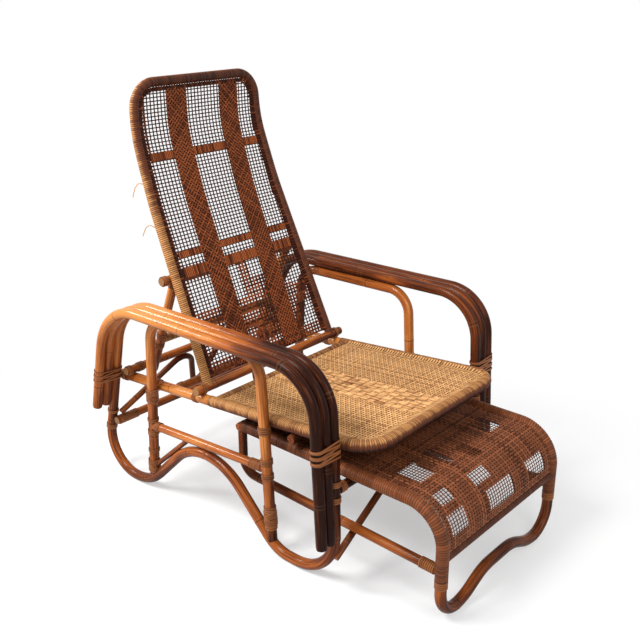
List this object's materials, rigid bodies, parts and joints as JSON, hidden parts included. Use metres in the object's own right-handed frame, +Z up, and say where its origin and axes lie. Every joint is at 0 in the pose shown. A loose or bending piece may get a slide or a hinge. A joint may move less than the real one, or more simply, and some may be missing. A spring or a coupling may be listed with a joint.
{
  "type": "chaise longue",
  "caption": "Rattan chaise longue with bent-pole arms, a woven seat, a reclining woven back on a hinged stay and a pull-out footrest.",
  "frame": {"origin": "on the floor, under the centre of the chair's box", "axes": "+Z up, -Y the way the sitter faces, +X the sitter's left"},
  "size_m": [0.738, 1.1442, 1.1154],
  "materials": {
    "rattan_pole": "glossy varnished rattan, honey to dark brown",
    "wrapped_cane": "tight cane wrapping, satin",
    "cane_binding": "flat cane ties, satin",
    "woven_cane": "open cane weave, satin"
  },
  "bodies": {
    "frame": {"arm_pole_left": "rattan_pole", "arm_strand_middle_left": "rattan_pole", "arm_strand_outer_left": "rattan_pole", "foot_loop_front_left": "rattan_pole", "foot_loop_rear_left": "rattan_pole", "inner_hoop_left": "rattan_pole", "lower_side_rail_left": "rattan_pole", "side_brace_left": "rattan_pole", "seat_side_rail_left": "rattan_pole", "front_binding_left": "cane_binding", "rear_binding_left": "cane_binding", "hinge_saddle_left": "cane_binding", "arm_pole_right": "rattan_pole", "arm_strand_middle_right": "rattan_pole", "arm_strand_outer_right": "rattan_pole", "foot_loop_front_right": "rattan_pole", "foot_loop_rear_right": "rattan_pole", "inner_hoop_right": "rattan_pole", "lower_side_rail_right": "rattan_pole", "side_brace_right": "rattan_pole", "seat_side_rail_right": "rattan_pole", "front_binding_right": "cane_binding", "rear_binding_right": "cane_binding", "hinge_saddle_right": "cane_binding", "rear_upper_bar": "rattan_pole", "rear_lower_bar": "rattan_pole", "footrest_guide_bar": "rattan_pole", "rear_seat_bar": "rattan_pole", "front_bar": "rattan_pole", "front_arch": "rattan_pole", "rear_arch_brace": "rattan_pole", "seat_rim": "wrapped_cane", "seat_rear_bar": "wrapped_cane", "seat_weave": "woven_cane"},
    "back": {"back_bottom_bar": "rattan_pole", "back_rim": "wrapped_cane", "back_weave": "woven_cane"},
    "stay": {"stay_top_bar": "rattan_pole", "stay_leg_left": "rattan_pole", "stay_leg_right": "rattan_pole", "stay_crossbar": "wrapped_cane"},
    "footrest": {"footrest_rear_bar": "rattan_pole", "footrest_hem_bar": "rattan_pole", "footrest_side_rail_left": "wrapped_cane", "footrest_side_rail_right": "wrapped_cane", "footrest_lower_rail_left": "rattan_pole", "footrest_lower_rail_right": "rattan_pole", "footrest_front_loop": "rattan_pole", "footrest_weave": "woven_cane"}
  },
  "joints": [
    {"name": "back_recline", "type": "hinge", "parent": "frame", "child": "back", "pos_m": [0, 0.18535, 0.35568], "axis": [-1, 0, 0], "range_deg": [0, 30]},
    {"name": "stay_turn", "type": "hinge", "parent": "back", "child": "stay", "pos_m": [0, 0.32982, 0.61521], "axis": [-1, 0, 0], "range_deg": [0, 15]},
    {"name": "footrest_slide", "type": "slide", "parent": "frame", "child": "footrest", "axis": [0, -1, 0], "range_m": [-0.14, 0.31]}
  ],
  "couplings": [
    {"joint": "stay_turn", "follows": "back_recline", "ratio": 0.5}
  ]
}
